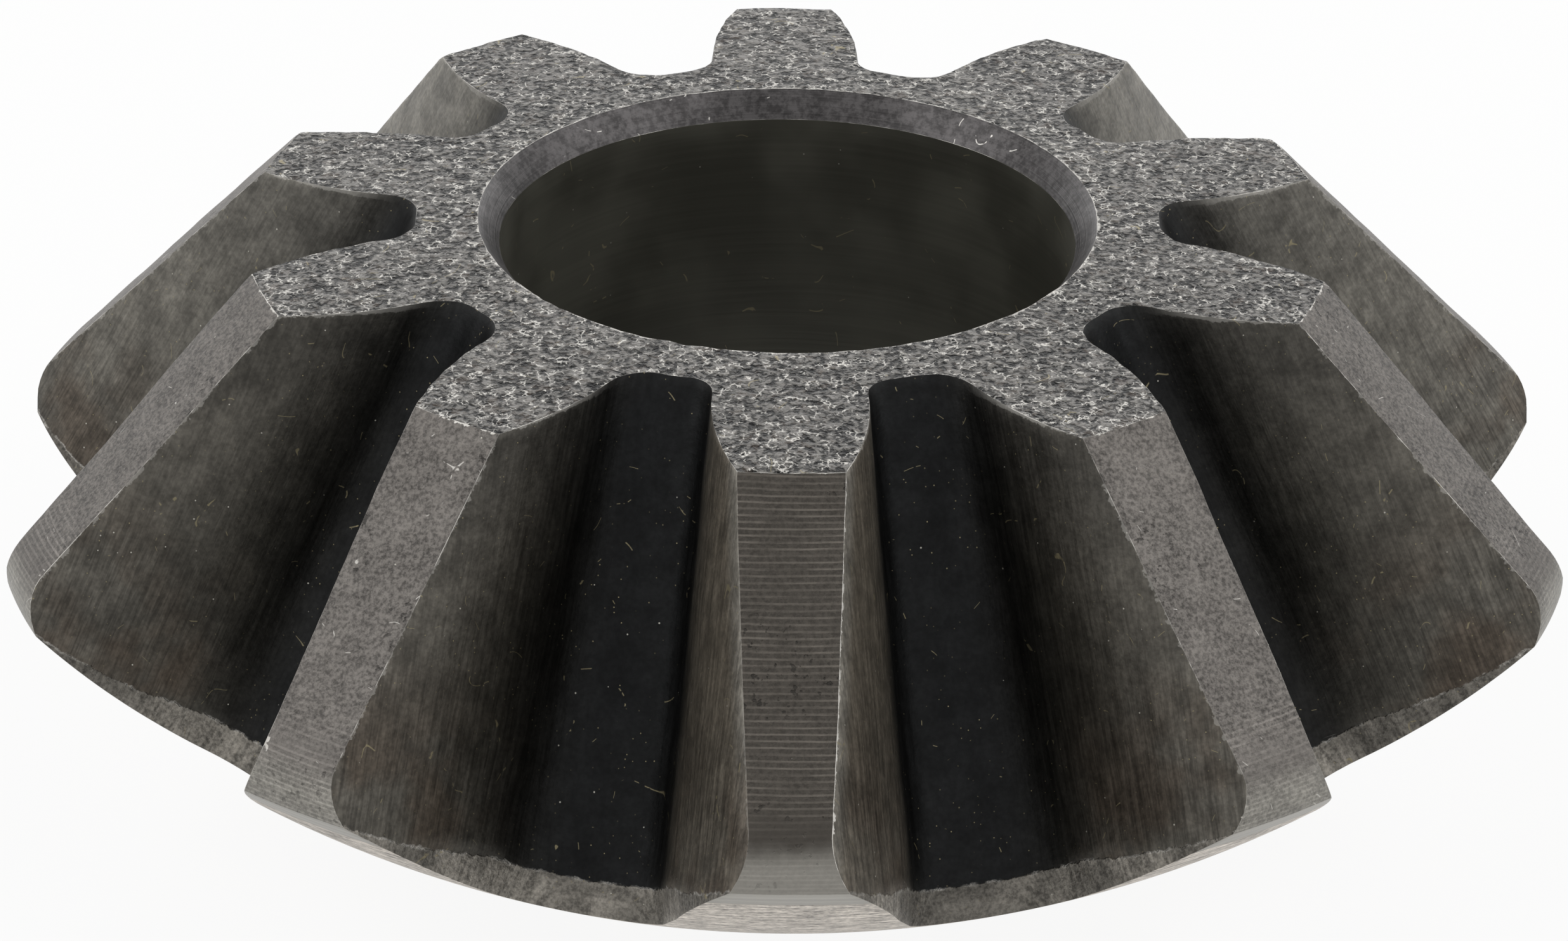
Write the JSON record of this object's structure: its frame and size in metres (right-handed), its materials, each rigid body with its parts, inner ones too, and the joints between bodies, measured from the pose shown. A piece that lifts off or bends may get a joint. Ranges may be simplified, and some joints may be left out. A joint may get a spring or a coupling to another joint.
{
  "type": "differential pinion gear",
  "caption": "Straight bevel pinion with a plain bore and a spherical back. It turns on the cross pin of a differential and meshes with both side gears.",
  "frame": {"origin": "On the axis of the bore, in the plane of the ring where the spherical back meets the bore chamfer, on which the pinion rests.", "axes": "+Z runs along the axis, from the spherical back towards the small end of the teeth. -Y points out through the middle of one tooth, and a tooth space opens towards +X and -X."},
  "size_m": [0.059, 0.061, 0.0233],
  "materials": {
    "forged_steel": "forged and case-hardened, grey-brown, with turned and shot-blasted faces"
  },
  "bodies": {
    "root": {"pinion_gear": "forged_steel"}
  },
  "joints": []
}
